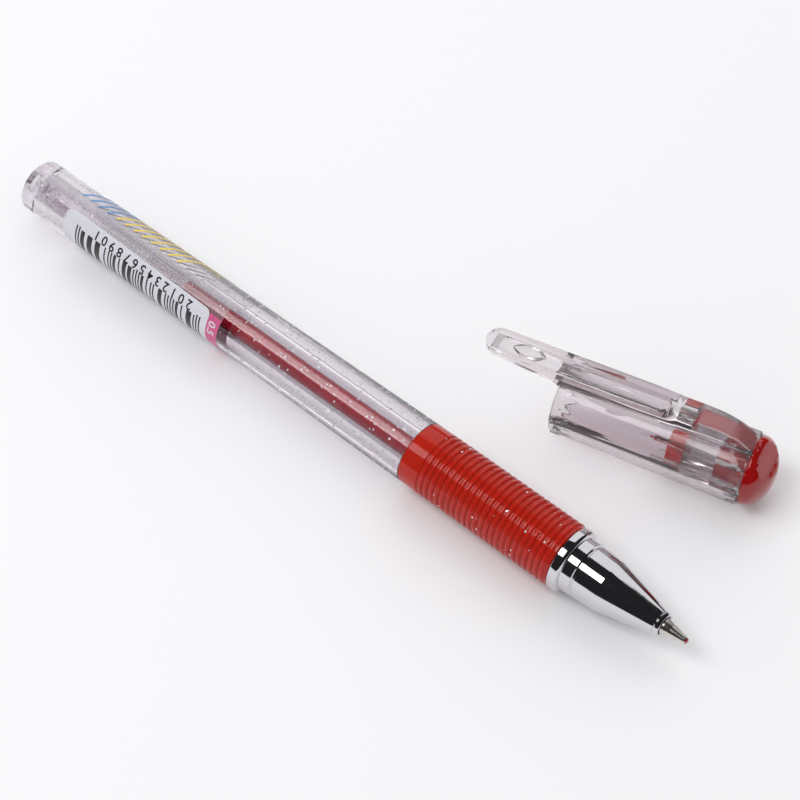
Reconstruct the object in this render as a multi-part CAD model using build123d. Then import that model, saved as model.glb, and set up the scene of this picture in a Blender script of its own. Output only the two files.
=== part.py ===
from build123d import *
import os
from math import asin, degrees, sqrt

# Gel pen with its cap off. Millimetres.
# The pen's axis is the X axis. The origin is the centre of the barrel's rear face and the tip points to +X.
# +Z is up. The pen lies on its grip, and the cap lies beside it on the same level.

os.makedirs("parts", exist_ok=True)

# ---- barrel ----
tail_radius = 4.82           # outside, where the cap can be posted
tail_length = 10.0           # straight stretch at the rear
barrel_front_radius = 5.57   # outside, just behind the grip
barrel_length = 120.4        # rear face to front face
bore_radius = 2.85           # inside, round the refill
end_wall = 2.2               # closed rear end
end_recess_radius = 1.2
end_recess_depth = 0.9
vent_radius = 0.5            # lets air in behind the follower
barrel_edge = 0.25           # chamfer at the rear rim

# ---- grip sleeve ----
grip_length = 30.7
grip_seat_radius = 4.60      # barrel's outside under the sleeve
grip_band_length = 3.9       # smooth band at the rear
grip_band_radius = 5.57
rib_count = 23
rib_crest_radius = 5.62
rib_root_radius = 5.33
rib_valley = 0.22            # flat between two ribs
grip_lip = 0.6               # plain stretch in front of the last rib
grip_band_edge = 0.15        # chamfer at the band's rear rim
grip_band_step = 0.2         # length of the step from the band to the first valley

# ---- label film ----
film_start = 10.6            # from the rear face
film_length = 38.1
film_thickness = 0.06

# ---- nose cone ----
thread_radius = 3.75         # barrel's inside at the thread
thread_clearance = 0.05      # radial, spigot to barrel
thread_length = 6.0
spigot_tip_gap = 0.6         # spigot's rear end to the bottom of the threaded counterbore
collar_gap = 0.15            # grip and barrel front to the collar
collar_length = 1.75
collar_radius = 5.57
collar_round = 0.45
collar_edge = 0.12           # chamfer at the collar's rear rim
spigot_edge = 0.3            # chamfer at the spigot's rear rim
neck_radius = 4.76           # the cap seats here
neck_length = 1.9
groove_width = 0.5
groove_depth = 0.22
shank_start_radius = 4.62
knee_radius = 4.45
shank_length = 4.1           # groove to knee
cone_length = 9.8
cone_end_radius = 2.16
lip_length = 0.9
lip_radius = 2.12            # at the lip's foot
lip_swell = 0.1              # how far the lip's middle stands out over its foot
lip_fall = 0.2               # how far its front edge lies inside its foot
lip_foot = 0.12              # length of the step from the cone to the lip
nose_mouth_radius = 1.62     # opening that the nib comes through

# ---- refill ----
refill_rear_gap = 1.4        # barrel's end wall to the tube's rear end
tube_radius = 1.90
tube_bore = 1.30
tube_sag = 0.75              # the tube lies this far below the axis behind the grip
sag_end = 92.0               # where the tube starts to rise to the axis
sag_rise = 18.0              # length of the rise
ink_start = 36.5             # rear end of the ink, from the rear face
follower_length = 9.0
follower_gap = 0.05          # follower to ink
follower_clearance = 0.02    # radial, follower to tube

# ---- tip holder and nib ----
holder_radius = 1.95
holder_length = 16.4
holder_flange_radius = 2.35
holder_flange_length = 1.6
holder_spigot_length = 4.0   # pushed into the tube
holder_clearance = 0.25      # radial, holder to the bore of the nose cone
holder_recess = 4.2          # nose cone's mouth to the holder's front end
holder_edge_length = 0.4     # chamfer at the holder's front end
holder_edge_depth = 0.3
flange_gap = 0.05            # along the axis, flange to the step in the nose cone
nib_stand_out = 4.34         # past the nose cone's mouth, without the ball
nib_base_radius = 1.42
nib_end_radius = 0.56
nib_shank_radius = 1.15
nib_shank_length = 5.0
nib_bore = 0.45
nib_base_stand_out = 0.3     # past the nose cone's mouth, before the nib's cone begins
nib_rim_length = 0.25        # the rolled-in rim round the ball
nib_rim_wall = 0.03
nib_throat_length = 1.0      # narrow ink way behind the ball
ball_radius = 0.40
ball_clearance = 0.02        # radial, ball to socket
ball_stand_out = 0.16        # past the nib's rim

# ---- cap ----
cap_length = 33.2            # mouth to the end of the clear shell
cap_mouth_radius = 5.95      # outside, behind the lip
cap_end_radius = 6.33        # outside, at the dome end
cap_lip_radius = 6.10
cap_lip_length = 2.0
cap_lip_step = 0.3           # length of the step behind the lip
cap_edge = 0.35
cap_fit = 0.08               # radial, cap's bore to the nose cone's neck
cap_bore_length = 17.6       # straight bore, mouth to the ribs
cap_end_bore = 5.15          # inside at the dome end
cap_end_round = 0.5
rib_tip_radius = 4.25        # inner edge of the long inner ribs
join_overlap = 0.3           # how far features of one piece run into each other
ring_overlap = 0.1           # the same, for the inner tube and the ribs
inner_rib_count = 8
inner_rib_width = 0.8
inner_rib_end = 31.6
seal_start = 19.9
seal_length = 2.7
seal_bore = 1.45
seal_floor = 0.7
inner_tube_wall = 0.9
inner_tube_end = 28.0
plug_gap = 0.1               # along the axis, between the plug's sleeve and the inner tube
plug_clearance = 0.05        # radial and sideways, plug to shell
plug_sleeve_wall = 1.0
plug_disc_length = 1.2       # the disc that closes the shell's end
plug_disc_clearance = 0.15   # radial, disc to shell
plug_floor = 0.6             # wall between the sleeve's hollow and the dome
dome_length = 4.1
dome_radius = 6.0

# ---- clip ----
clip_height = 8.90           # outer face above the cap's axis
clip_width = 4.8
clip_overhang = 13.9         # past the mouth
clip_tip_depth = 1.25        # thickness at the free end
clip_roof_start = 20.0       # the outer face swells here, then bends down to the dome's end
clip_roof_curve = (          # outer face between there and the end: (x, height above the cap's axis)
    (24.0, 9.10),
    (28.0, 8.92),
    (31.0, 8.00),
    (33.2, 6.40),
    (34.8, 4.60),
    (36.4, 2.20),
)
roof_end_gap = 0.2           # the outer face's curve meets the cap's axis this far past the dome
clip_end_width = 3.4
clip_taper_start = 17.0
clip_roof_wall = 1.0
clip_side_wall = 0.9
clip_floor = 0.3             # above the tube's outside, under the hollow of the clip
clip_root_depth = 0.4        # how deep the clip's foot is set into the tube's wall
clip_root_rise = 0.3         # height of the clip's underside over the tube, in front of the mouth
clip_root_length = 1.0       # slope from there down to the mouth
clip_tip_wall = 1.3          # from the free end to the hollow
clip_web = 0.1               # solid left between the two hollows' ends at the mouth
clip_hollow_front = 18.6
bead_centre = -6.3           # from the mouth
bead_length = 6.0
bead_depth = 1.4             # below the clip's roof
bead_root = 0.3              # how far the bead runs up into the clip's roof
fin_width = 3.0
fin_start = 22.9
fin_roof_gap = 0.85
fin_depth = 1.6
peg_radius = 0.9
peg_length = 2.7
peg_drop = 0.1               # the peg's top below the fin's top

# ---- where the cap lies ----
cap_mouth_x = 100.0
cap_mouth_y = 23.9
cap_yaw = 15.0               # turned about the vertical, degrees

# ---- sizes that follow ----
grip_start = barrel_length - grip_length
collar_rear = barrel_length + collar_gap
neck_start = collar_rear + collar_length
groove_start = neck_start + neck_length
shank_start = groove_start + groove_width
knee = shank_start + shank_length
cone_end = knee + cone_length
nose_front = cone_end + lip_length
counterbore_start = barrel_length - thread_length - spigot_tip_gap
rib_pitch = (grip_length - grip_band_length - grip_lip) / rib_count
film_end = film_start + film_length
tube_rear = end_wall + refill_rear_gap
holder_front = nose_front - holder_recess
holder_rear = holder_front - holder_length
tube_front = holder_rear + holder_spigot_length
nib_front = nose_front + nib_stand_out
ball_centre = nib_front + ball_stand_out - ball_radius
cap_bore_radius = neck_radius + cap_fit
lying_height = -rib_crest_radius
cap_tilt = degrees(asin((cap_end_radius - cap_lip_radius) / cap_length))
cap_inner_tube_start = seal_start + seal_length
cap_end = cap_length + dome_length
roof_end = cap_end + roof_end_gap
span = 30.0                  # wider than any part of the cap


def outer_radius(x):
    """Outside radius of the barrel behind the grip."""
    if x <= tail_length:
        return tail_radius
    share = (x - tail_length) / (grip_start - tail_length)
    return tail_radius + share * (barrel_front_radius - tail_radius)


def turned(*outline):
    """Solid of revolution about the X axis from (x, radius) points."""
    edge = Polyline(*[(x, 0, radius) for x, radius in outline], close=True)
    return revolve(make_face(edge), Axis.X)


def rod(start, end, radius):
    return turned((start, 0), (start, radius), (end, radius), (end, 0))


def box_between(low, high):
    size = [b - a for a, b in zip(low, high)]
    middle = [(a + b) / 2 for a, b in zip(low, high)]
    return Pos(*middle) * Box(*size)


def make_barrel():
    body = turned(
        (0, 0),
        (0, tail_radius - barrel_edge),
        (barrel_edge, tail_radius),
        (tail_length, tail_radius),
        (grip_start, barrel_front_radius),
        (grip_start, grip_seat_radius),
        (barrel_length, grip_seat_radius),
        (barrel_length, 0),
    )
    body -= rod(end_wall, barrel_length, bore_radius)
    body -= rod(counterbore_start, barrel_length, thread_radius)
    body -= rod(0, end_recess_depth, end_recess_radius)
    return body - rod(0, end_wall, vent_radius)


def make_label_film():
    return turned(
        (film_start, outer_radius(film_start)),
        (film_start, outer_radius(film_start) + film_thickness),
        (film_end, outer_radius(film_end) + film_thickness),
        (film_end, outer_radius(film_end)),
    )


def grip_outline():
    """Edges of the sleeve's half section: a smooth band, round ribs with flat valleys, and a lip."""
    ribs_start = grip_start + grip_band_length
    band = Polyline(
        (grip_start, 0, grip_seat_radius),
        (grip_start, 0, grip_band_radius - grip_band_edge),
        (grip_start + grip_band_edge, 0, grip_band_radius),
        (ribs_start - grip_band_step, 0, grip_band_radius),
        (ribs_start, 0, rib_root_radius),
    )
    edges = [band]
    for number in range(rib_count):
        rear = ribs_start + number * rib_pitch
        foot = rear + rib_valley
        front = rear + rib_pitch
        edges.append(Line((rear, 0, rib_root_radius), (foot, 0, rib_root_radius)))
        crest = ((foot + front) / 2, 0, rib_crest_radius)
        edges.append(ThreePointArc((foot, 0, rib_root_radius), crest, (front, 0, rib_root_radius)))
    last = ribs_start + rib_count * rib_pitch
    front = Polyline(
        (last, 0, rib_root_radius),
        (barrel_length, 0, rib_root_radius),
        (barrel_length, 0, grip_seat_radius),
        (grip_start, 0, grip_seat_radius),
    )
    edges.append(front)
    return edges


def make_grip_sleeve():
    return revolve(make_face(grip_outline()), Axis.X)


def make_nose_cone():
    spigot_radius = thread_radius - thread_clearance
    spigot_rear = collar_rear - thread_length
    bend = collar_round * (1 - 1 / sqrt(2))
    shoulder = ThreePointArc(
        (neck_start - collar_round, 0, collar_radius),
        (neck_start - bend, 0, collar_radius - bend),
        (neck_start, 0, collar_radius - collar_round),
    )
    lip_middle = nose_front - lip_length / 2
    lip = ThreePointArc(
        (cone_end, 0, lip_radius),
        (lip_middle, 0, lip_radius + lip_swell),
        (nose_front, 0, lip_radius - lip_fall),
    )
    rear = Polyline(
        (spigot_rear, 0, 0),
        (spigot_rear, 0, spigot_radius - spigot_edge),
        (spigot_rear + spigot_edge, 0, spigot_radius),
        (collar_rear, 0, spigot_radius),
        (collar_rear, 0, collar_radius - collar_edge),
        (collar_rear + collar_edge, 0, collar_radius),
        (neck_start - collar_round, 0, collar_radius),
    )
    middle = Polyline(
        (neck_start, 0, collar_radius - collar_round),
        (neck_start, 0, neck_radius),
        (groove_start, 0, neck_radius),
        (groove_start + groove_width / 2, 0, neck_radius - groove_depth),
        (shank_start, 0, shank_start_radius),
        (knee, 0, knee_radius),
        (cone_end - lip_foot, 0, cone_end_radius),
        (cone_end, 0, lip_radius),
    )
    front = Polyline((nose_front, 0, lip_radius - lip_fall), (nose_front, 0, 0), (spigot_rear, 0, 0))
    body = revolve(make_face([rear, shoulder, middle, lip, front]), Axis.X)
    flange_way = tube_front + holder_flange_length + flange_gap
    body -= rod(spigot_rear, flange_way, holder_flange_radius + holder_clearance)
    body -= rod(spigot_rear, holder_front, holder_radius + holder_clearance)
    return body - rod(spigot_rear, nose_front, nose_mouth_radius)


def refill_path():
    """Centre line of the tube: on the bottom of the bore, then a gentle rise to the pen's axis."""
    low = Line((tube_rear, 0, -tube_sag), (sag_end, 0, -tube_sag))
    rise = Spline(
        (sag_end, 0, -tube_sag),
        (sag_end + sag_rise, 0, 0),
        tangents=[(1, 0, 0), (1, 0, 0)],
    )
    level = Line((sag_end + sag_rise, 0, 0), (tube_front, 0, 0))
    return low, rise, level


def swept(path_edges, start, radius):
    """Round bar of one radius along joined path edges, starting at a point that faces +X."""
    disc = Plane(origin=start, z_dir=(1, 0, 0)) * Circle(radius)
    return sweep(disc, Wire(path_edges))


def make_refill_tube():
    low, rise, level = refill_path()
    start = (tube_rear, 0, -tube_sag)
    return swept([low, rise, level], start, tube_radius) - swept([low, rise, level], start, tube_bore)


def make_ink():
    low, rise, level = refill_path()
    column = Line((ink_start, 0, -tube_sag), (sag_end, 0, -tube_sag))
    level = Line((sag_end + sag_rise, 0, 0), (holder_rear, 0, 0))
    return swept([column, rise, level], (ink_start, 0, -tube_sag), tube_bore)


def make_grease_follower():
    front = ink_start - follower_gap
    plug = rod(front - follower_length, front, tube_bore - follower_clearance)
    return Pos(0, 0, -tube_sag) * plug


def make_tip_holder():
    flange_rear = tube_front
    flange_front = flange_rear + holder_flange_length
    body = turned(
        (holder_rear, 0),
        (holder_rear, tube_bore),
        (flange_rear, tube_bore),
        (flange_rear, holder_flange_radius),
        (flange_front, holder_flange_radius),
        (flange_front, holder_radius),
        (holder_front - holder_edge_length, holder_radius),
        (holder_front, holder_radius - holder_edge_depth),
        (holder_front, 0),
    )
    body -= rod(holder_rear, holder_front, nib_bore)
    return body - rod(holder_front - nib_shank_length, holder_front, nib_shank_radius)


def make_nib():
    shank_rear = holder_front - nib_shank_length
    body = turned(
        (shank_rear, 0),
        (shank_rear, nib_shank_radius),
        (holder_front, nib_shank_radius),
        (holder_front, nib_base_radius),
        (nose_front + nib_base_stand_out, nib_base_radius),
        (nib_front - nib_rim_length, nib_end_radius),
        (nib_front, ball_radius + nib_rim_wall),
        (nib_front, 0),
    )
    body -= rod(shank_rear, ball_centre - nib_throat_length, nib_bore)
    body -= rod(shank_rear, ball_centre, ball_radius / 2)
    return body - Pos(ball_centre, 0, 0) * Sphere(ball_radius + ball_clearance)


def make_ball():
    return Pos(ball_centre, 0, 0) * Sphere(ball_radius)


# The cap is drawn in its own frame: X from the mouth's centre to the dome, Z towards the clip.
# laid_down() then puts it on the table.


def laid_down(shape):
    place = Pos(cap_mouth_x, cap_mouth_y, lying_height + cap_lip_radius)
    return place * Rot(0, 0, cap_yaw) * Rot(0, -cap_tilt, 0) * shape


def side_view(outline, width):
    """Solid between y = -width/2 and +width/2 from a closed outline of edges in the XZ plane."""
    return extrude(make_face(outline), width / 2, dir=(0, 1, 0), both=True)


def under_roof(drop, width):
    """Everything in the upper half below the clip's outer face, less a wall, as far as the dome's end."""
    start = -span
    height = clip_height - drop
    floor = -join_overlap
    bend = Spline(
        (clip_roof_start, 0, height),
        *[(x, 0, z * height / clip_height) for x, z in clip_roof_curve],
        (roof_end, 0, 0),
        tangents=[(1, 0, 0), (0, 0, -1)],
    )
    rest = Polyline(
        (clip_roof_start, 0, height),
        (start, 0, height),
        (start, 0, floor),
        (roof_end, 0, floor),
        (roof_end, 0, 0),
    )
    return side_view([bend, rest], width)


def lower_half():
    return box_between((-span, -span, -span), (cap_end + span, span, 0))


def make_clip_block():
    """The clip's outer shape: rounded tip, tapering depth in front of the mouth, narrowing to the dome."""
    half = clip_width / 2
    end_half = clip_end_width / 2
    tip = -clip_overhang
    plan_edges = [
        ThreePointArc((tip + half, half), (tip, 0), (tip + half, -half)),
        Polyline((tip + half, -half), (clip_taper_start, -half), (cap_length, -end_half),
                 (cap_end, -end_half), (cap_end, end_half), (cap_length, end_half),
                 (clip_taper_start, half), (tip + half, half)),
    ]
    plan = extrude(make_face(plan_edges), span)
    side = Polyline(
        (tip, 0, span),
        (tip, 0, clip_height - clip_tip_depth),
        (-clip_root_length, 0, cap_mouth_radius + clip_root_rise),
        (0, 0, cap_mouth_radius - clip_root_depth),
        (cap_length, 0, cap_mouth_radius - clip_root_depth),
        (cap_length, 0, span),
        close=True,
    )
    return plan & side_view([side], span)


def make_cap_tube():
    return turned(
        (0, 0),
        (0, cap_lip_radius - cap_edge),
        (cap_edge, cap_lip_radius),
        (cap_lip_length - cap_lip_step, cap_lip_radius),
        (cap_lip_length, cap_mouth_radius),
        (cap_length - cap_end_round, cap_end_radius),
        (cap_length, cap_end_radius - cap_end_round),
        (cap_length, 0),
    )


def make_cap_hollow():
    return turned(
        (0, 0),
        (0, cap_bore_radius),
        (cap_bore_length, cap_bore_radius),
        (cap_length, cap_end_bore),
        (cap_length, 0),
    )


def make_inner_ribs():
    """Long ribs on the inner wall. They hold the seal cup and carry the inner tube."""
    rib = box_between(
        (cap_bore_length, -inner_rib_width / 2, rib_tip_radius),
        (inner_rib_end, inner_rib_width / 2, cap_end_bore + join_overlap),
    )
    ribs = [Rot(360 / inner_rib_count * number, 0, 0) * rib for number in range(inner_rib_count)]
    ring = turned(
        (cap_inner_tube_start, rib_tip_radius - inner_tube_wall),
        (cap_inner_tube_start, rib_tip_radius + ring_overlap),
        (inner_tube_end, rib_tip_radius + ring_overlap),
        (inner_tube_end, rib_tip_radius - inner_tube_wall),
    )
    return ribs, ring


def make_fin(clearance):
    """The plug's fin and peg, or with negative clearance the pocket for them."""
    width = fin_width - 2 * clearance
    top = fin_roof_gap + clearance
    fin = under_roof(top, width) - under_roof(top + fin_depth - 2 * clearance, width + 1)
    fin = fin & box_between((fin_start + clearance, -span, 0), (cap_length, span, span))
    height = clip_height - fin_roof_gap - peg_radius - peg_drop
    peg = rod(fin_start - peg_length + clearance, fin_start + peg_radius, peg_radius - clearance)
    return fin + Pos(0, 0, height) * peg


def make_bead():
    """Round grip bead with pointed ends, along X."""
    half = bead_length / 2
    arc = ThreePointArc((-half, 0, 0), (0, 0, bead_depth), (half, 0, 0))
    return revolve(make_face([arc, Line((half, 0, 0), (-half, 0, 0))]), Axis.X)


def make_cap_shell():
    shell = make_cap_tube() + make_clip_block()
    shell = shell & (under_roof(0, span) + lower_half())
    shell -= make_cap_hollow()
    half = clip_width / 2 - clip_side_wall
    roof = clip_height - clip_roof_wall
    floor = cap_end_radius + clip_floor
    free_end = clip_tip_wall - clip_overhang
    shell -= box_between((free_end, -half, 0), (clip_web - clip_root_length, half, roof))
    hollow_end = clip_hollow_front - half
    shell -= box_between((-clip_root_length, -half, floor), (hollow_end, half, roof))
    shell -= Pos(hollow_end, 0, (floor + roof) / 2) * Cylinder(half, roof - floor)
    bead = Pos(bead_centre, 0, roof) * make_bead()
    bead = bead & box_between((-span, -span, 0), (0, span, roof + bead_root))
    ribs, ring = make_inner_ribs()
    shell = shell + bead + ribs + ring
    return shell - make_fin(-plug_clearance)


def make_cap_plug():
    sleeve_radius = rib_tip_radius - plug_clearance
    sleeve_start = inner_tube_end + plug_gap
    rear = Line((cap_length, 0, 0), (cap_length, 0, dome_radius))
    share = 1 / sqrt(2)
    dome = Spline(
        (cap_length, 0, dome_radius),
        (cap_length + dome_length * share, 0, dome_radius * share),
        (cap_end, 0, 0),
        tangents=[(1, 0, 0), (0, 0, -1)],
    )
    axis = Line((cap_end, 0, 0), (cap_length, 0, 0))
    body = revolve(make_face([rear, dome, axis]), Axis.X)
    body = body & (under_roof(0, span) + lower_half())
    body += rod(cap_length - plug_disc_length, cap_length + join_overlap, cap_end_bore - plug_disc_clearance)
    body += rod(sleeve_start, cap_length, sleeve_radius)
    body += make_fin(0)
    return body - rod(sleeve_start, cap_length - plug_floor, sleeve_radius - plug_sleeve_wall)


def make_cap_seal():
    seal_end = seal_start + seal_length
    body = rod(seal_start, seal_end, rib_tip_radius)
    return body - rod(seal_start, seal_end - seal_floor, seal_bore)


makers = {
    "barrel": make_barrel,
    "label_film": make_label_film,
    "grip_sleeve": make_grip_sleeve,
    "nose_cone": make_nose_cone,
    "refill_tube": make_refill_tube,
    "ink": make_ink,
    "grease_follower": make_grease_follower,
    "tip_holder": make_tip_holder,
    "nib": make_nib,
    "ball": make_ball,
}
cap_makers = {
    "cap_shell": make_cap_shell,
    "cap_plug": make_cap_plug,
    "cap_seal": make_cap_seal,
}

for name, make in makers.items():
    export_step(make(), f"parts/{name}.step")
for name, make in cap_makers.items():
    export_step(laid_down(make()), f"parts/{name}.step")
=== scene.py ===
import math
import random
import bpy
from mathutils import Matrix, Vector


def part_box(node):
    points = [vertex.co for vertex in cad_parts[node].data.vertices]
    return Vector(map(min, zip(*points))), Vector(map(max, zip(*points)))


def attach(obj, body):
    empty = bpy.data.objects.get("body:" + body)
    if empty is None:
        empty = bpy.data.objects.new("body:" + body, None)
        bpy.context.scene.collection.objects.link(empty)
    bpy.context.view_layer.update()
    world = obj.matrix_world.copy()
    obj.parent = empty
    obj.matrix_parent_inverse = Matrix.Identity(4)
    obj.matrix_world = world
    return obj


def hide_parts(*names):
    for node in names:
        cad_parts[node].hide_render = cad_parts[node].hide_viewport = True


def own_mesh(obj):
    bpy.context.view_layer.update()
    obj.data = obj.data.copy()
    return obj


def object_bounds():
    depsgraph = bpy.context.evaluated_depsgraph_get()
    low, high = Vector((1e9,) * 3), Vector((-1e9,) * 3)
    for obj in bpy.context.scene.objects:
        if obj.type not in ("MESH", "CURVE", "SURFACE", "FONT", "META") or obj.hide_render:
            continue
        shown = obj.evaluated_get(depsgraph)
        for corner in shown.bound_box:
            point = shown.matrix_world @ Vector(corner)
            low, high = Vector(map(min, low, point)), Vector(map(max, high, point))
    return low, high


bl_info = {
    "name": "Gel pen",
    "version": (1, 0, 0),
    "blender": (4, 5, 0),
    "location": "View3D > Sidebar > Gel pen",
    "description": "Builds the visual model of a gel pen with its cap off, and its stage",
    "category": "Object",
}

import bmesh
import bpy
from mathutils import Euler, Matrix, Vector

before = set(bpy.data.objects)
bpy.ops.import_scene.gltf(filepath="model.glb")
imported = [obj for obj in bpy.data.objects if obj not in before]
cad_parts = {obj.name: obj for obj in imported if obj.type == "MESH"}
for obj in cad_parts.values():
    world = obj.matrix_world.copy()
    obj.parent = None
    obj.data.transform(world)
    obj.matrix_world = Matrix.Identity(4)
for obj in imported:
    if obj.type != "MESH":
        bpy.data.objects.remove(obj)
CAD_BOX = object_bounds()

MM = 0.001
BARREL_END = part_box("barrel")[1].x / MM
ROUND_STEPS = 144  # segments round the pen's axis
ARC_STEPS = 5  # segments in a rounded corner
WELD = 2e-7  # vertices nearer than this are merged, in metres
SLEEVE_RADIUS = 5.57  # outside of the sleeve's plain stretch, in millimetres
PRINT_RADIUS = 5.0  # flat print is laid out as arc length at this radius, in millimetres
PRINT_CREEP = 0.25  # how far the print creeps round the barrel, in degrees per millimetre
PRINT_THICKNESS = 0.02  # of the first layer of print, in millimetres
INK_THICKNESS = 0.015  # of the bars and numbers, in millimetres


def length(name, millimetres, description):
    """A size that shows in scene units."""
    return bpy.props.FloatProperty(
        name=name,
        description=description,
        default=millimetres * MM,
        min=0.0,
        precision=5,
        unit="LENGTH",
    )


def colour(name, red, green, blue, description):
    return bpy.props.FloatVectorProperty(
        name=name,
        description=description,
        default=(red, green, blue),
        min=0.0,
        max=1.0,
        size=3,
        subtype="COLOR",
    )


# ---- what a user may change ----


class PenSizes(bpy.types.PropertyGroup):
    """Sizes of the pen. The pen's axis is X, from the centre of the barrel's rear face."""

    tail_radius: length("Tail radius", 4.82, "Outside of the barrel at the rear")
    tail_length: length("Tail length", 10.0, "Straight stretch at the rear")
    front_radius: length("Front radius", 5.57, "Outside of the barrel behind the grip")
    bore_radius: length("Bore radius", 2.85, "Inside of the barrel, round the refill")
    grip_length: length("Grip length", 30.7, "Length of the rubber sleeve")
    grip_seat: length("Grip seat", 4.60, "Outside of the barrel under the sleeve")
    rib_crest: length("Rib crest", 5.62, "Radius over the ribs of the sleeve")
    rib_root: length("Rib root", 5.33, "Radius between the ribs")
    film_thickness: length("Film thickness", 0.06, "Thickness of the label film")
    flake_radius: length("Flake radius", 0.21, "Half the width of one glitter flake")
    rib_count: bpy.props.IntProperty(
        name="Ribs", description="Ribs round the grip", default=23, min=2
    )
    barrel_flakes: bpy.props.IntProperty(
        name="Barrel flakes", description="Glitter flakes in the barrel's wall", default=680, min=0
    )
    grip_flakes: bpy.props.IntProperty(
        name="Grip flakes", description="Glitter flakes in the sleeve's surface", default=90, min=0
    )


class PenColours(bpy.types.PropertyGroup):
    """Colours of the pen's materials."""

    clear: colour("Clear plastic", 0.77, 0.735, 0.77, "Tint of the barrel")
    cap: colour("Cap plastic", 0.80, 0.76, 0.78, "Tint of the cap")
    grip: colour("Grip", 0.66, 0.026, 0.012, "Rubber sleeve")
    ink: colour("Ink", 0.62, 0.002, 0.022, "Ink in the refill")
    plug: colour("Cap plug", 0.44, 0.006, 0.006, "Plug and dome of the cap")
    seal: colour("Seal", 0.80, 0.025, 0.018, "Seal inside the cap")
    chrome: colour("Chrome", 0.70, 0.69, 0.72, "Plating of the nose cone")
    nickel: colour("Nickel silver", 0.78, 0.74, 0.69, "Metal of the nib")
    blue: colour("Blue print", 0.13, 0.28, 0.58, "First stripes of the label")
    yellow: colour("Yellow print", 0.85, 0.62, 0.10, "Later stripes of the label")
    pink: colour("Pink print", 0.62, 0.11, 0.25, "Patch at the front of the label")


class StageSettings(bpy.types.PropertyGroup):
    """Light, floor and camera."""

    floor: colour("Floor", 0.86, 0.86, 0.87, "Colour of the floor")
    camera_distance: bpy.props.FloatProperty(
        name="Camera distance",
        description="From the middle of the scene",
        default=0.3858,
        unit="LENGTH",
    )
    camera_height: bpy.props.FloatProperty(
        name="Camera elevation",
        description="Above the horizon",
        default=math.radians(51.88),
        subtype="ANGLE",
    )
    camera_turn: bpy.props.FloatProperty(
        name="Camera turn",
        description="Which way the camera faces, round the upright from the Y axis",
        default=math.radians(41.57),
        subtype="ANGLE",
    )
    lens: bpy.props.FloatProperty(
        name="Lens", description="Focal length in millimetres", default=103.5, min=10.0
    )


# ---- modelling tools ----


def put_down():
    """Object mode with nothing selected."""
    if bpy.context.object and bpy.context.object.mode != "OBJECT":
        bpy.ops.object.mode_set(mode="OBJECT")
    bpy.ops.object.select_all(action="DESELECT")


def pick(piece):
    put_down()
    piece.select_set(True)
    bpy.context.view_layer.objects.active = piece


def apply_modifiers(piece):
    pick(piece)
    for modifier in list(piece.modifiers):
        bpy.ops.object.modifier_apply(modifier=modifier.name)


def join(pieces):
    put_down()
    for piece in pieces:
        piece.select_set(True)
    bpy.context.view_layer.objects.active = pieces[0]
    bpy.ops.object.join()
    return pieces[0]


def tidy_mesh(piece, distance=WELD):
    """Merges doubles and turns every face outwards."""
    pick(piece)
    bpy.ops.object.mode_set(mode="EDIT")
    bpy.ops.mesh.select_all(action="SELECT")
    bpy.ops.mesh.remove_doubles(threshold=distance)
    bpy.ops.mesh.normals_make_consistent(inside=False)
    bpy.ops.object.mode_set(mode="OBJECT")


def smooth(piece, degrees):
    pick(piece)
    bpy.ops.object.shade_smooth_by_angle(angle=math.radians(degrees))


def corner(x, radius, rounding=0.0):
    """A corner of an outline in millimetres, and the radius of its rounding."""
    return Vector((x, radius)), rounding


def softened(outline):
    """The closed outline's points in millimetres, with each rounded corner a short arc."""
    points = []
    count = len(outline)
    for number, (here, rounding) in enumerate(outline):
        if not rounding:
            points.append(here)
            continue
        before = (outline[number - 1][0] - here).normalized()
        after = (outline[(number + 1) % count][0] - here).normalized()
        half = before.angle(after) / 2
        reach = rounding / math.tan(half)
        middle = here + (before + after).normalized() * (rounding / math.sin(half))
        first, last = here + before * reach, here + after * reach
        for step in range(ARC_STEPS + 1):
            ray = (first - middle).lerp(last - middle, step / ARC_STEPS)
            points.append(middle + ray.normalized() * rounding)
    return points


def turned(name, outline, steps=ROUND_STEPS, degrees=32):
    """A piece turned about the pen's axis from an outline of corners in millimetres."""
    points = softened(outline)
    put_down()
    start = points[0]
    bpy.ops.mesh.primitive_plane_add(size=MM, location=(start.x * MM, 0, start.y * MM))
    piece = bpy.context.object
    piece.name = name
    bpy.ops.object.transform_apply(location=True, rotation=True, scale=True)
    bpy.ops.object.mode_set(mode="EDIT")
    bpy.ops.mesh.select_all(action="SELECT")
    bpy.ops.mesh.merge(type="CENTER")
    for here, there in zip(points, points[1:]):
        move = (there - here) * MM
        bpy.ops.mesh.extrude_region_move(TRANSFORM_OT_translate={"value": (move.x, 0, move.y)})
    bpy.ops.mesh.select_all(action="SELECT")
    bpy.ops.mesh.edge_face_add()
    bpy.ops.mesh.delete(type="ONLY_FACE")
    bpy.ops.mesh.select_all(action="SELECT")
    bpy.ops.mesh.spin(steps=steps, angle=math.tau, center=(0, 0, 0), axis=(1, 0, 0))
    bpy.ops.object.mode_set(mode="OBJECT")
    tidy_mesh(piece)
    smooth(piece, degrees)
    return piece


def copy_of(node, name, degrees):
    """The CAD node's shape as a new piece with merged vertices and smooth curved faces."""
    put_down()
    piece = bpy.data.objects.new(name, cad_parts[node].data.copy())
    bpy.context.scene.collection.objects.link(piece)
    piece.data.materials.clear()
    pick(piece)
    bpy.ops.object.mode_set(mode="EDIT")
    bpy.ops.mesh.select_all(action="SELECT")
    bpy.ops.mesh.remove_doubles(threshold=WELD)
    bpy.ops.mesh.tris_convert_to_quads(
        face_threshold=math.radians(2), shape_threshold=math.radians(60)
    )
    bpy.ops.object.mode_set(mode="OBJECT")
    smooth(piece, degrees)
    return piece


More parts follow.
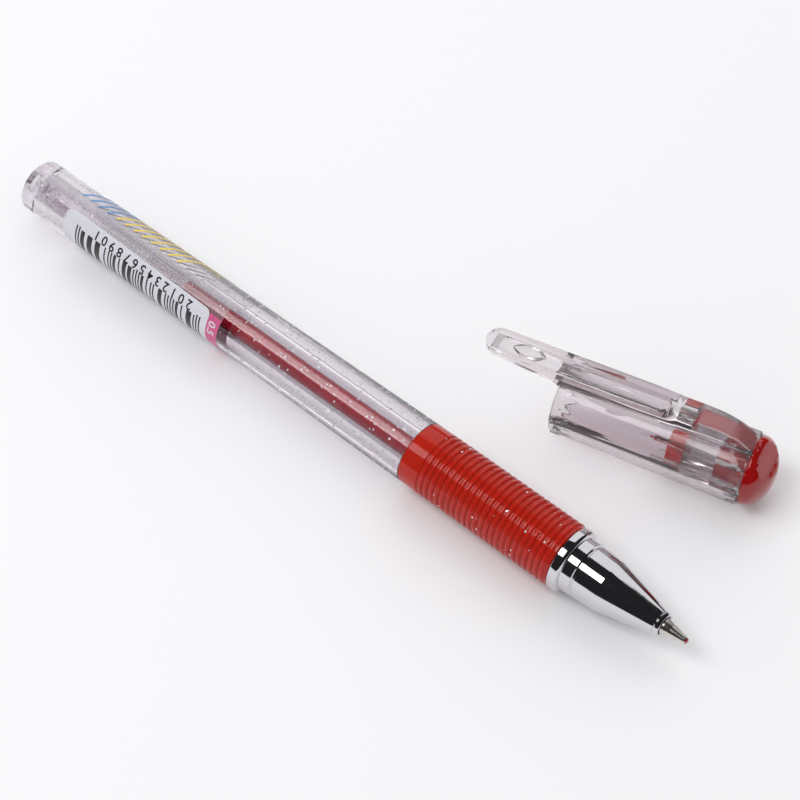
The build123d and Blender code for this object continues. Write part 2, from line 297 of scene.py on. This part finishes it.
def settle(piece, body, material, replaced=()):
    """Gives the piece its finish and its body."""
    pick(piece)
    bpy.ops.object.transform_apply(location=True, rotation=True, scale=True)
    piece.data.materials.clear()
    piece.data.materials.append(material)
    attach(piece, body)
    if replaced:
        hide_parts(*replaced)


# ---- materials ----


def new_material(name):
    material = bpy.data.materials.new(name)
    material.use_nodes = True
    return material, material.node_tree, material.node_tree.nodes["Principled BSDF"]


def node(tree, kind, inputs=None, **settings):
    """A shader node, with its settings, and each input joined or set."""
    made = tree.nodes.new("ShaderNode" + kind)
    for key, value in settings.items():
        setattr(made, key, value)
    for key, value in (inputs or {}).items():
        if isinstance(value, bpy.types.NodeSocket):
            tree.links.new(value, made.inputs[key])
        else:
            made.inputs[key].default_value = value
    return made


def place(tree):
    return node(tree, "TexCoord").outputs["Object"]


def stretched(tree, scale):
    return node(tree, "Mapping", {"Vector": place(tree), "Scale": scale}).outputs[0]


def noise(tree, scale, detail=3.0, stretch=(1, 1, 1)):
    inputs = {"Vector": stretched(tree, stretch), "Scale": scale, "Detail": detail}
    return node(tree, "TexNoise", inputs).outputs["Fac"]


def ranged(tree, value, low, high):
    """value from 0..1 brought to low..high."""
    return node(tree, "MapRange", {"Value": value, "To Min": low, "To Max": high}).outputs[0]


def blended(tree, share, first, second):
    """A colour between first and second, as share goes from 0 to 1."""
    mix = node(tree, "Mix", data_type="RGBA")
    tree.links.new(share, mix.inputs[0])
    for socket, value in ((mix.inputs[6], first), (mix.inputs[7], second)):
        if isinstance(value, bpy.types.NodeSocket):
            tree.links.new(value, socket)
        else:
            socket.default_value = (*value[:3], 1)
    return mix.outputs[2]


def bump(tree, shader, height, strength, distance):
    bumped = node(tree, "Bump", {"Height": height, "Strength": strength, "Distance": distance})
    tree.links.new(bumped.outputs[0], shader.inputs["Normal"])


def dial(shader, **values):
    """Sets the shader's own sockets, each named as in the shader with _ for a space."""
    for key, value in values.items():
        name = {"color": "Base Color"}.get(key, key.replace("_", " "))
        shader.inputs[name].default_value = (*value[:3], 1) if name.endswith("Color") else value


def lets_lamps_through(tree, shader, tint):
    """Lamps shine through the plastic on what is behind it, weakened by its tint."""
    shadow = node(tree, "LightPath").outputs["Is Shadow Ray"]
    through = node(tree, "BsdfTransparent", {"Color": (*tint, 1)})
    mix = node(tree, "MixShader", {"Fac": shadow, 1: shader.outputs[0], 2: through.outputs[0]})
    tree.links.new(mix.outputs[0], tree.nodes["Material Output"].inputs["Surface"])


def clear_plastic(name, tint, scratch=0.03, milky=0.0):
    """Clear moulded plastic: faint flow lines along the piece, and fine handling haze."""
    material, tree, shader = new_material(name)
    dial(shader, color=tint, IOR=1.49, Transmission_Weight=1.0 - milky)
    haze = noise(tree, 900.0, 4.0, (0.25, 1, 1))
    tree.links.new(ranged(tree, haze, 0.0, scratch * 2), shader.inputs["Roughness"])
    bump(tree, shader, noise(tree, 260.0, 2.0, (0.08, 1, 1)), 0.012, 0.0002)
    lets_lamps_through(tree, shader, [math.sqrt(part) for part in tint])
    return material


def glitter():
    """Bright aluminised flakes, each with its own shade."""
    material, tree, shader = new_material("glitter")
    dial(shader, Metallic=0.3)
    cells = stretched(tree, (900, 900, 900))
    shade = node(tree, "TexWhiteNoise", {"Vector": cells}).outputs["Value"]
    silver = blended(tree, shade, (0.95, 0.95, 0.98), (0.80, 0.84, 0.92))
    tree.links.new(silver, shader.inputs["Base Color"])
    tree.links.new(ranged(tree, noise(tree, 3000.0), 0.3, 0.55), shader.inputs["Roughness"])
    return material


def printed(name, tint, alpha=1.0):
    """Glossy print on film, with the fine mottle of the screen."""
    material, tree, shader = new_material(name)
    darker = [part * 0.86 for part in tint]
    mottled = blended(tree, noise(tree, 1400.0, 5.0), darker, tint)
    tree.links.new(mottled, shader.inputs["Base Color"])
    dial(shader, Alpha=alpha, IOR=1.45)
    tree.links.new(ranged(tree, noise(tree, 500.0), 0.18, 0.38), shader.inputs["Roughness"])
    bump(tree, shader, noise(tree, 4000.0, 2.0), 0.05, 0.00005)
    return material


def rubber(name, tint):
    """Soft translucent rubber with a wet sheen and a fine grain."""
    material, tree, shader = new_material(name)
    mottle = noise(tree, 700.0, 5.0)
    deep = [part * 0.72 for part in tint]
    tree.links.new(blended(tree, mottle, deep, tint), shader.inputs["Base Color"])
    tree.links.new(ranged(tree, noise(tree, 1500.0, 3.0), 0.06, 0.16), shader.inputs["Roughness"])
    dial(shader, Subsurface_Weight=0.3, Subsurface_Scale=0.0015, IOR=1.38, Transmission_Weight=0.3)
    shader.inputs["Subsurface Radius"].default_value = (1.0, 0.12, 0.06)
    bump(tree, shader, noise(tree, 2600.0, 4.0), 0.08, 0.00005)
    return material


def plated(name, tint):
    """Chrome plating with the slight waves of the moulding under it and a few wiping marks."""
    material, tree, shader = new_material(name)
    dial(shader, color=tint, Metallic=1.0)
    marks = noise(tree, 1200.0, 6.0, (0.15, 1, 1))
    tree.links.new(ranged(tree, marks, 0.02, 0.12), shader.inputs["Roughness"])
    bump(tree, shader, noise(tree, 330.0, 2.0), 0.05, 0.0003)
    return material


def machined(name, tint):
    """Metal turned on a lathe: fine rings round the axis."""
    material, tree, shader = new_material(name)
    dial(shader, Metallic=1.0)
    rings = node(
        tree, "TexWave", {"Vector": place(tree), "Scale": 2200.0, "Distortion": 1.5, "Detail": 2.0},
        bands_direction="X",
    ).outputs["Fac"]
    dull = [part * 0.78 for part in tint]
    tree.links.new(blended(tree, rings, dull, tint), shader.inputs["Base Color"])
    tree.links.new(ranged(tree, rings, 0.16, 0.30), shader.inputs["Roughness"])
    bump(tree, shader, rings, 0.12, 0.00003)
    return material


def gel(name, tint, through, roughness):
    """A wet filling or a tinted plastic, with soft clouds in it."""
    material, tree, shader = new_material(name)
    deep = [part * 0.6 for part in tint]
    clouds = noise(tree, 260.0, 3.0, (0.3, 1, 1))
    tree.links.new(blended(tree, clouds, deep, tint), shader.inputs["Base Color"])
    dial(shader, Transmission_Weight=through, IOR=1.45, Coat_Weight=0.5, Coat_Roughness=0.04)
    uneven = ranged(tree, noise(tree, 900.0), roughness * 0.6, roughness * 1.5)
    tree.links.new(uneven, shader.inputs["Roughness"])
    return material


# ---- the pieces ----


class PEN_OT_barrel(bpy.types.Operator):
    """Clear thick-walled barrel with its closed rear end, and the flakes in its wall"""

    bl_idname = "pen.barrel"
    bl_label = "Barrel"

    def execute(self, context):
        size, tints = context.scene.pen_sizes, context.scene.pen_colours
        tail, bore = size.tail_radius / MM, size.bore_radius / MM
        seat = size.grip_seat / MM - 0.02
        thread, thread_end = 3.75, BARREL_END - 6.6
        end_wall, vent = 2.2, 0.5
        dimple, dimple_depth = 1.2, 0.9
        barrel = turned(
            "barrel_body",
            [
                corner(0.0, dimple, 0.1),
                corner(0.0, tail, 0.35),
                corner(size.tail_length / MM, tail),
                corner(grip_rear(size), size.front_radius / MM, 0.08),
                corner(grip_rear(size), seat),
                corner(BARREL_END, seat),
                corner(BARREL_END, thread),
                corner(thread_end, thread),
                corner(thread_end, bore),
                corner(end_wall, bore, 0.5),
                corner(end_wall, vent, 0.08),
                corner(dimple_depth, vent, 0.05),
                corner(dimple_depth, dimple, 0.1),
            ],
        )
        plastic = clear_plastic("clear_plastic", tints.clear)
        settle(barrel, "barrel", plastic, ("barrel",))
        settle(self.flakes(size), "barrel", glitter())
        return {"FINISHED"}

    def flakes(self, size):
        """Six-sided flakes scattered through the wall, most of them near its outside."""
        random.seed(11)
        places = []
        skin, spread, wall_tilt = 0.25, 0.55, 0.7
        for _ in range(size.barrel_flakes):
            x = random.uniform(1.0, grip_rear(size) - 1.0)
            radius = outer_radius(size, x) - skin - abs(random.gauss(0.0, spread))
            places.append((x, radius, random.uniform(0, math.tau), wall_tilt))
        sunk, grip_tilt = 0.06, 0.1
        for _ in range(size.grip_flakes):
            x = random.uniform(grip_rear(size) + 0.5, BARREL_END - 0.5)
            radius = rib_surface(size, x) - sunk
            places.append((x, radius, random.uniform(0, math.tau), grip_tilt))
        return scattered("glitter_flakes", size.flake_radius, places)


class PEN_OT_label(bpy.types.Operator):
    """Clear label film with its white patch, bars, numbers, code patch and stripes"""

    bl_idname = "pen.label"
    bl_label = "Label"

    stripe_start, stripe_pitch = 13.8, 2.13
    faded_start, faded_pitch = 39.5, 0.85
    blue_count, yellow_count, faded_count = 4, 8, 5
    stripe_slope = -0.85

    def execute(self, context):
        size, tints = context.scene.pen_sizes, context.scene.pen_colours
        low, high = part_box("label_film")
        rear, front = low.x / MM, high.x / MM
        film = size.film_thickness / MM
        second_layer = film + 0.02
        sunk = 0.02
        shell = turned(
            "label_film_clear",
            [
                corner(rear, outer_radius(size, rear) - sunk),
                corner(rear, outer_radius(size, rear) + film),
                corner(front, outer_radius(size, front) + film),
                corner(front, outer_radius(size, front) - sunk),
            ],
        )
        clear = printed("film_clear", (0.80, 0.78, 0.82), 0.10)
        settle(shell, "barrel", clear, ("label_film",))
        white = printed("print_white", (0.72, 0.72, 0.78), 0.95)
        black = printed("print_black", (0.02, 0.018, 0.02))

        code_rear = front - 2.65
        patch = flat_patch("label_patch", rear + 0.3, code_rear, 29, 148, 1.2)
        patch = wrapped(patch, size, film, PRINT_THICKNESS, PRINT_CREEP)
        settle(patch, "barrel", white)
        pink = flat_patch("label_code_patch", code_rear, front - 0.05, 33, 148, 0.0)
        pink = wrapped(pink, size, film, PRINT_THICKNESS, PRINT_CREEP)
        settle(pink, "barrel", printed("print_pink", tints.pink))
        settle(self.bars(size, second_layer, rear), "barrel", black)
        digits = flat_text("label_numbers", "2012345678901", 2.45, (front - 6.6, 36.5), "rear")
        digits = wrapped(digits, size, second_layer, INK_THICKNESS, PRINT_CREEP)
        settle(digits, "barrel", black)
        code = flat_text("label_code", "0.5", 2.1, (front - 2.2, 44), "round")
        code = wrapped(code, size, second_layer, INK_THICKNESS, PRINT_CREEP)
        settle(code, "barrel", white)

        start, pitch = self.stripe_start, self.stripe_pitch
        blue = self.stripes("label_stripes_blue", size, film, start, self.blue_count)
        settle(blue, "barrel", printed("print_blue", tints.blue))
        start = start + self.blue_count * pitch
        yellow = self.stripes("label_stripes_yellow", size, film, start, self.yellow_count)
        settle(yellow, "barrel", printed("print_yellow", tints.yellow))
        start = self.faded_start
        faded = self.stripes("label_stripes_faded", size, film, start, self.faded_count, True)
        settle(faded, "barrel", printed("print_yellow_faded", tints.yellow, 0.3))
        return {"FINISHED"}

    def bars(self, size, lift, rear):
        """Bars of one to four modules, longer at the two ends and in the middle."""
        module, modules = 0.326, 95
        margin = 3.4
        inked = 0.92  # the part of its modules that a bar fills
        near, near_guard, far = 56, 52, 140  # degrees round the barrel
        random.seed(5)
        strips = []
        at = 0
        while at < modules:
            guard = at < 4 or at > modules - 6 or 44 < at < 49
            width = 1 if guard else random.choice((1, 1, 2, 2, 3, 4))
            width = min(width, modules - at)
            start = rear + margin + at * module
            end = start + width * module * inked
            strips.append(flat_patch("bar", start, end, near_guard if guard else near, far, 0.0))
            at += width + (1 if guard else random.choice((1, 1, 2, 2, 3)))
        bars = join(strips)
        bars.name = "label_bars"
        return wrapped(bars, size, lift, INK_THICKNESS, PRINT_CREEP)

    def stripes(self, name, size, film, start, count, faded=False):
        """Slanted strokes, one after another along the pen; faded ones are thin and short."""
        half = 0.145 if faded else 0.29
        far, near = -78, -30 if faded else -4  # degrees round the barrel
        pitch = self.faded_pitch if faded else self.stripe_pitch
        strokes = []
        for number in range(count):
            stroke = flat_patch("stroke", -half, half, far, near, 0.12)
            slanted(stroke, self.stripe_slope)
            stroke.location.x = (start + number * pitch) * MM
            strokes.append(stroke)
        strip = join(strokes)
        strip.name = name
        return wrapped(strip, size, film, PRINT_THICKNESS)


class PEN_OT_refill(bpy.types.Operator):
    """Refill tube, its ink column and follower, tip holder, nib and ball"""

    bl_idname = "pen.refill"
    bl_label = "Refill"

    def execute(self, context):
        tints = context.scene.pen_colours
        tube = copy_of("refill_tube", "refill_tube_clear", 40)
        cloudy = clear_plastic("tube_plastic", (0.93, 0.90, 0.92), 0.06)
        settle(tube, "refill", cloudy, ("refill_tube",))
        self.ink(tints)
        finish_node("grease_follower", gel("follower_grease", (0.72, 0.52, 0.55), 0.7, 0.12))
        finish_node("tip_holder", gel("holder_plastic", (0.80, 0.78, 0.76), 0.0, 0.3))
        finish_node("ball", machined("tungsten_carbide", (0.45, 0.40, 0.40)))
        self.nib(tints)
        return {"FINISHED"}

    def ink(self, tints):
        """Cuts the ink in two at the bend: the straight rear column, which in use shortens as the
        follower moves up, and the rest, which stays full.
        """
        material = gel("ink", tints.ink, 0.0, 0.08)
        bend = 92.0 * MM
        column = copy_of("ink", "ink_column", 40)
        cut(column, bend, keep_rear=True)
        front = copy_of("ink", "ink_front", 40)
        cut(front, bend, keep_rear=False)
        for piece in (column, front):
            swell(piece, 0.015 * MM)
        for piece in (column, front):
            settle(piece, "refill", material, ("ink",))
        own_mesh(column)

    def nib(self, tints):
        """Turned tip with its shank, cone and rolled lip, and a little wet ink on the lip."""
        rear, end = (point.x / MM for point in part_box("nib"))
        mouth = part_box("nose_cone")[1].x / MM
        shank, shoulder, lip, socket = 1.15, 1.42, 0.43, 0.30
        step = rear + 5.0
        nib = turned(
            "nib_cone",
            [
                corner(rear, 0.45),
                corner(rear, shank),
                corner(step, shank),
                corner(step, shoulder, 0.1),
                corner(mouth + 0.3, shoulder, 0.15),
                corner(mouth + 1.25, 1.16, 0.03),
                corner(mouth + 1.35, 1.12, 0.03),
                corner(end - 0.55, 0.64, 0.05),
                corner(end - 0.25, 0.56, 0.06),
                corner(end - 0.01, lip, 0.03),
                corner(end - 0.1, 0.38),
                corner(end - 0.7, socket),
                corner(end - 1.2, socket),
            ],
            steps=96,
        )
        settle(nib, "refill", machined("nickel_silver", tints.nickel), ("nib",))
        smear = turned(
            "ink_smear",
            [
                corner(end - 0.16, 0.38),
                corner(end - 0.16, 0.515, 0.03),
                corner(end, lip, 0.02),
                corner(end, 0.395),
            ],
            steps=64,
        )
        settle(smear, "refill", gel("ink_wet", tints.ink, 0.0, 0.05))


class PEN_OT_grip(bpy.types.Operator):
    """Ribbed rubber sleeve"""

    bl_idname = "pen.grip"
    bl_label = "Grip"

    def execute(self, context):
        size, tints = context.scene.pen_sizes, context.scene.pen_colours
        rear, end = grip_rear(size), BARREL_END - 0.05
        root, crest = size.rib_root / MM, size.rib_crest / MM
        first, pitch = rib_layout(size)
        groove = 0.2
        wide = pitch - groove
        outline = [
            corner(rear, size.grip_seat / MM),
            corner(rear, SLEEVE_RADIUS, 0.2),
            corner(first - 0.15, SLEEVE_RADIUS, 0.12),
            corner(first, root),
        ]
        for number in range(size.rib_count):
            start = first + number * pitch + groove
            for share in (0.0, 0.1, 0.25, 0.42, 0.58, 0.75, 0.9, 1.0):
                rise = (crest - root) * rib_rise(share)
                outline.append(corner(start + share * wide, root + rise))
        outline += [corner(end, root, 0.1), corner(end, size.grip_seat / MM)]
        grip = turned("grip_ribbed", outline, steps=128, degrees=50)
        settle(grip, "barrel", rubber("grip_rubber", tints.grip), ("grip_sleeve",))
        return {"FINISHED"}


class PEN_OT_nose(bpy.types.Operator):
    """Chrome-plated nose cone"""

    bl_idname = "pen.nose"
    bl_label = "Nose cone"

    def execute(self, context):
        tints = context.scene.pen_colours
        rear, end = (point.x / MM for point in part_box("nose_cone"))
        spigot, rim, neck, groove = 3.70, 5.57, 4.76, 4.46
        rear_bore, middle_bore, mouth = 2.6, 2.20, 1.62
        collar = rear + 6.0
        collar_front = collar + 1.75
        mouth_step, bore_step = end - 4.2, end - 15.0
        nose = turned(
            "nose_chrome",
            [
                corner(rear, rear_bore),
                corner(rear, spigot, 0.3),
                corner(collar, spigot),
                corner(collar, rim, 0.15),
                corner(collar_front, rim, 0.75),
                corner(collar_front, neck, 0.05),
                corner(collar + 3.60, neck, 0.06),
                corner(collar + 3.82, groove, 0.05),
                corner(collar + 4.00, groove, 0.05),
                corner(collar + 4.18, 4.66, 0.05),
                corner(end - 10.7, 4.45, 0.25),
                corner(end - 0.95, 2.20, 0.08),
                corner(end - 0.9, 2.10, 0.03),
                corner(end - 0.65, 2.22, 0.1),
                corner(end, 2.02, 0.12),
                corner(end, mouth, 0.08),
                corner(mouth_step, mouth),
                corner(mouth_step, middle_bore),
                corner(bore_step, middle_bore),
                corner(bore_step, rear_bore),
            ],
        )
        settle(nose, "nose", plated("chrome_plating", tints.chrome), ("nose_cone",))
        return {"FINISHED"}


class PEN_OT_cap(bpy.types.Operator):
    """Clear cap with its clip, red plug and seal"""

    bl_idname = "pen.cap"
    bl_label = "Cap"

    def execute(self, context):
        tints = context.scene.pen_colours
        shell = copy_of("cap_shell", "cap_clear", 28)
        clear = clear_plastic("cap_plastic", tints.cap, scratch=0.05, milky=0.04)
        settle(shell, "cap", clear, ("cap_shell",))
        plug = copy_of("cap_plug", "cap_plug_red", 28)
        red = gel("plug_plastic", tints.plug, through=0.15, roughness=0.08)
        settle(plug, "cap", red, ("cap_plug",))
        seal = copy_of("cap_seal", "cap_seal_red", 40)
        settle(seal, "cap", rubber("seal_rubber", tints.seal), ("cap_seal",))
        return {"FINISHED"}


class PEN_OT_stage(bpy.types.Operator):
    """Pale floor, soft lights and the camera"""

    bl_idname = "pen.stage"
    bl_label = "Stage"

    def execute(self, context):
        scene = context.scene
        self.floor(scene.pen_stage)
        self.camera(scene)
        pen = Vector((0.07, 0, 0))
        strip, far = Vector((-0.15, -0.31, 0.63)), Vector((-0.15, 0.55, 0.49))
        self.lamp("light_strip", strip, pen, wide=0.30, high=0.60, power=2.1)
        self.lamp("light_far", far, pen, wide=0.75, high=0.80, power=1.7)
        self.world(scene)
        scene.view_settings.view_transform = "Standard"
        return {"FINISHED"}

    def floor(self, stage):
        put_down()
        bpy.ops.mesh.primitive_grid_add(
            x_subdivisions=8, y_subdivisions=8, size=6.0, location=(0, 0, CAD_BOX[0].z)
        )
        floor = bpy.context.object
        floor.name = "floor"
        material, tree, shader = new_material("pale_floor")
        paler = [min(1.0, part * 1.02) for part in stage.floor]
        mottled = blended(tree, noise(tree, 6.0), stage.floor, paler)
        tree.links.new(mottled, shader.inputs["Base Color"])
        dial(shader, Roughness=0.9, Specular_IOR_Level=0.1)
        floor.data.materials.append(material)

    def camera(self, scene):
        """The camera looks down at a point on the floor between the pen and its cap."""
        stage = scene.pen_stage
        turn, rise = stage.camera_turn, stage.camera_height
        forward = Vector((-math.sin(turn), math.cos(turn), 0))
        middle = Vector((0.0774, 0.0090, CAD_BOX[0].z + 0.0005))
        back = -forward * math.cos(rise) + Vector((0, 0, math.sin(rise)))
        data = bpy.data.cameras.new("camera")
        data.lens = stage.lens
        data.sensor_width = 36.0
        data.clip_start, data.clip_end = 0.01, 20.0
        camera = bpy.data.objects.new("camera", data)
        scene.collection.objects.link(camera)
        camera.location = middle + back * stage.camera_distance
        camera.rotation_euler = (-back).to_track_quat("-Z", "Y").to_euler()
        scene.camera = camera

    def world(self, scene):
        """A pale studio; metal and gloss reflect a dark room, so that the lamps stand out."""
        white, pale, grey, dark = (
            (0.90, 0.90, 0.91), (0.66, 0.66, 0.67), (0.62, 0.61, 0.62), (0.02, 0.02, 0.022)
        )
        world = bpy.data.worlds.new("studio")
        scene.world = world
        world.use_nodes = True
        tree = world.node_tree
        shade = grey
        for ray, colour_seen in (
            ("Is Camera Ray", white),
            ("Is Glossy Ray", dark),
            ("Is Transmission Ray", grey),  # a transmitted ray counts as a glossy one too
            ("Is Diffuse Ray", pale),
        ):
            share = node(tree, "LightPath").outputs[ray]
            shade = blended(tree, share, shade, colour_seen)
        tree.links.new(shade, tree.nodes["Background"].inputs["Color"])

    def lamp(self, name, where, target, wide, high, power):
        """A soft rectangular lamp aimed at the target, its wide side level along X."""
        data = bpy.data.lights.new(name, "AREA")
        data.shape = "RECTANGLE"
        data.size, data.size_y, data.energy = wide, high, power
        lamp = bpy.data.objects.new(name, data)
        bpy.context.scene.collection.objects.link(lamp)
        back = (where - target).normalized()
        side = Vector((1, 0, 0)).cross(back).normalized()
        along = back.cross(side)
        lamp.location = where
        lamp.rotation_euler = Matrix((side, along, back)).transposed().to_euler()
        lamp.visible_camera = False


# ---- shapes used by several pieces ----


def grip_rear(size):
    """Where the sleeve begins, in millimetres."""
    return BARREL_END - size.grip_length / MM


def outer_radius(size, x):
    """Outside radius of the barrel behind the grip, all in millimetres."""
    tail, front = size.tail_radius / MM, size.front_radius / MM
    share = (x - size.tail_length / MM) / (grip_rear(size) - size.tail_length / MM)
    return tail + max(0.0, share) * (front - tail)


def rib_layout(size):
    """Where the ribs begin, and their pitch."""
    plain_rear, plain_front = 3.9, 0.6
    first = grip_rear(size) + plain_rear
    return first, (BARREL_END - plain_front - first) / size.rib_count


def rib_rise(share):
    """Height of a rib's half-round section across it: 0 at its sides and 1 in its middle."""
    return math.sqrt(max(0.0, 1 - (2 * share - 1) ** 2))


def rib_surface(size, x):
    """Outside radius of the sleeve, in millimetres."""
    first, pitch = rib_layout(size)
    if x < first:
        return SLEEVE_RADIUS
    rise = rib_rise(((x - first) / pitch) % 1.0)
    return (size.rib_root + (size.rib_crest - size.rib_root) * rise) / MM


def scattered(name, radius, places):
    """One six-sided flake copied to each (x, radius, angle, tilt), in millimetres and radians."""
    flake_thickness = 0.015
    put_down()
    bpy.ops.mesh.primitive_circle_add(vertices=6, radius=radius, fill_type="NGON")
    flake = bpy.context.object
    bpy.ops.object.mode_set(mode="EDIT")
    bpy.ops.mesh.extrude_region_move(
        TRANSFORM_OT_translate={"value": (0, 0, flake_thickness * MM)}
    )
    bpy.ops.object.mode_set(mode="OBJECT")
    tidy_mesh(flake, 1e-8)
    shape = bmesh.new()
    for x, distance, angle, tilt in places:
        before = len(shape.verts)
        shape.from_mesh(flake.data)
        shape.verts.ensure_lookup_table()
        lean_x, lean_y = random.uniform(-tilt, tilt), random.uniform(-tilt, tilt)
        lean = Euler((lean_x, lean_y, random.uniform(0, math.tau))).to_matrix().to_4x4()
        grow = Matrix.Scale(random.uniform(0.6, 1.1), 4)
        out = Matrix.Translation((x * MM, 0, 0)) @ Matrix.Rotation(angle, 4, "X")
        out = out @ Matrix.Translation((0, 0, distance * MM)) @ lean @ grow
        for vertex in shape.verts[before:]:
            vertex.co = out @ vertex.co
    shape.to_mesh(flake.data)
    shape.free()
    flake.name = name
    return flake


def flat_patch(name, rear, front, first_angle, last_angle, rounding):
    """A flat rectangle of print, in place along X and laid out as arc length across it."""
    put_down()
    low = math.radians(first_angle) * PRINT_RADIUS
    high = math.radians(last_angle) * PRINT_RADIUS
    middle = ((rear + front) / 2 * MM, -(low + high) / 2 * MM, 0)
    bpy.ops.mesh.primitive_plane_add(size=1.0, location=middle)
    patch = bpy.context.object
    patch.name = name
    patch.scale = ((front - rear) * MM, (high - low) * MM, 1)
    bpy.ops.object.transform_apply(location=False, rotation=True, scale=True)
    if rounding:
        bpy.ops.object.mode_set(mode="EDIT")
        bpy.ops.mesh.select_all(action="SELECT")
        bpy.ops.mesh.bevel(offset=rounding * MM, segments=4, affect="VERTICES")
        bpy.ops.object.mode_set(mode="OBJECT")
    return patch


def slanted(patch, slope):
    """Leans the patch along the pen, by slope times the distance from its own centre."""
    for vertex in patch.data.vertices:
        vertex.co.x -= vertex.co.y * slope


def flat_text(name, text, height, where, reads):
    """Numbers laid flat. They read towards the rear, or round the pen."""
    x, angle = where
    put_down()
    turn = math.pi if reads == "rear" else -math.pi / 2
    spot = (x * MM, -math.radians(angle) * PRINT_RADIUS * MM, 0)
    bpy.ops.object.text_add(location=spot, rotation=(0, 0, turn))
    words = bpy.context.object
    words.data.body = text
    words.data.size = height * MM
    words.data.offset = 0.03 * MM  # makes the strokes bolder
    words.data.space_character = 1.55 if reads == "rear" else 1.0
    words.data.resolution_u = 4
    bpy.ops.object.convert(target="MESH")
    words = bpy.context.object
    words.name = name
    return words


def wrapped(piece, size, lift, thickness, skew=0.0):
    """Cuts a flat print into narrow strips, bends it round the barrel and gives it a thickness.

    skew is how far the print creeps round the barrel along it, in degrees for each millimetre.
    """
    strip_width = 0.35
    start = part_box("label_film")[0].x
    pick(piece)
    bpy.ops.object.transform_apply(location=True, rotation=True, scale=True)
    low = min(vertex.co.y for vertex in piece.data.vertices)
    high = max(vertex.co.y for vertex in piece.data.vertices)
    strips = max(2, math.ceil((high - low) / (strip_width * MM)))
    bpy.ops.object.mode_set(mode="EDIT")
    for number in range(1, strips):
        bpy.ops.mesh.select_all(action="SELECT")
        at = low + (high - low) * number / strips
        bpy.ops.mesh.bisect(plane_co=(0, at, 0), plane_no=(0, 1, 0))
    bpy.ops.object.mode_set(mode="OBJECT")
    for vertex in piece.data.vertices:
        angle = -vertex.co.y / (PRINT_RADIUS * MM)
        angle += math.radians(skew) * (vertex.co.x - start) / MM
        radius = (outer_radius(size, vertex.co.x / MM) + lift) * MM
        vertex.co = (vertex.co.x, -radius * math.sin(angle), radius * math.cos(angle))
    piece.data.update()
    wall = piece.modifiers.new("wall", "SOLIDIFY")
    wall.thickness = thickness * MM
    wall.offset = 1.0
    apply_modifiers(piece)
    smooth(piece, 40)
    return piece


def cut(piece, x, keep_rear):
    """Keeps what lies behind x, or before it, and closes the cut."""
    pick(piece)
    bpy.ops.object.mode_set(mode="EDIT")
    bpy.ops.mesh.select_all(action="SELECT")
    bpy.ops.mesh.bisect(
        plane_co=(x, 0, 0),
        plane_no=(1, 0, 0),
        use_fill=True,
        clear_outer=keep_rear,
        clear_inner=not keep_rear,
    )
    bpy.ops.object.mode_set(mode="OBJECT")
    smooth(piece, 40)


def swell(piece, distance):
    """Grows the piece sideways from its centre line, so that the ink wets the tube's wall."""
    pick(piece)
    bpy.ops.object.mode_set(mode="EDIT")
    bpy.ops.mesh.select_all(action="SELECT")
    bpy.ops.transform.shrink_fatten(value=distance)
    bpy.ops.object.mode_set(mode="OBJECT")


def finish_node(name, material):
    """A CAD node that stays as it is gets a better material."""
    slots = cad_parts[name].data.materials
    if slots:
        for number in range(len(slots)):
            slots[number] = material
    else:
        slots.append(material)


# ---- the sidebar, and running it all ----


class PEN_PT_panel(bpy.types.Panel):
    """Lists the steps that build the pen"""

    bl_idname = "PEN_PT_panel"
    bl_label = "Gel pen"
    bl_space_type = "VIEW_3D"
    bl_region_type = "UI"
    bl_category = "Gel pen"

    def draw(self, context):
        for group in (context.scene.pen_sizes, context.scene.pen_colours, context.scene.pen_stage):
            box = self.layout.box()
            for key in group.__annotations__:
                box.prop(group, key)
        for step in STEPS:
            self.layout.operator(step.bl_idname)


STEPS = (
    PEN_OT_barrel,
    PEN_OT_label,
    PEN_OT_refill,
    PEN_OT_grip,
    PEN_OT_nose,
    PEN_OT_cap,
    PEN_OT_stage,
)
CLASSES = (PenSizes, PenColours, StageSettings, *STEPS, PEN_PT_panel)


def register():
    for each in CLASSES:
        bpy.utils.register_class(each)
    bpy.types.Scene.pen_sizes = bpy.props.PointerProperty(type=PenSizes)
    bpy.types.Scene.pen_colours = bpy.props.PointerProperty(type=PenColours)
    bpy.types.Scene.pen_stage = bpy.props.PointerProperty(type=StageSettings)


def unregister():
    del bpy.types.Scene.pen_stage
    del bpy.types.Scene.pen_colours
    del bpy.types.Scene.pen_sizes
    for each in reversed(CLASSES):
        bpy.utils.unregister_class(each)


def main():
    register()
    bpy.ops.pen.barrel()
    bpy.ops.pen.label()
    bpy.ops.pen.refill()
    bpy.ops.pen.grip()
    bpy.ops.pen.nose()
    bpy.ops.pen.cap()
    bpy.ops.pen.stage()
    put_down()


if __name__ == "__main__":
    main()
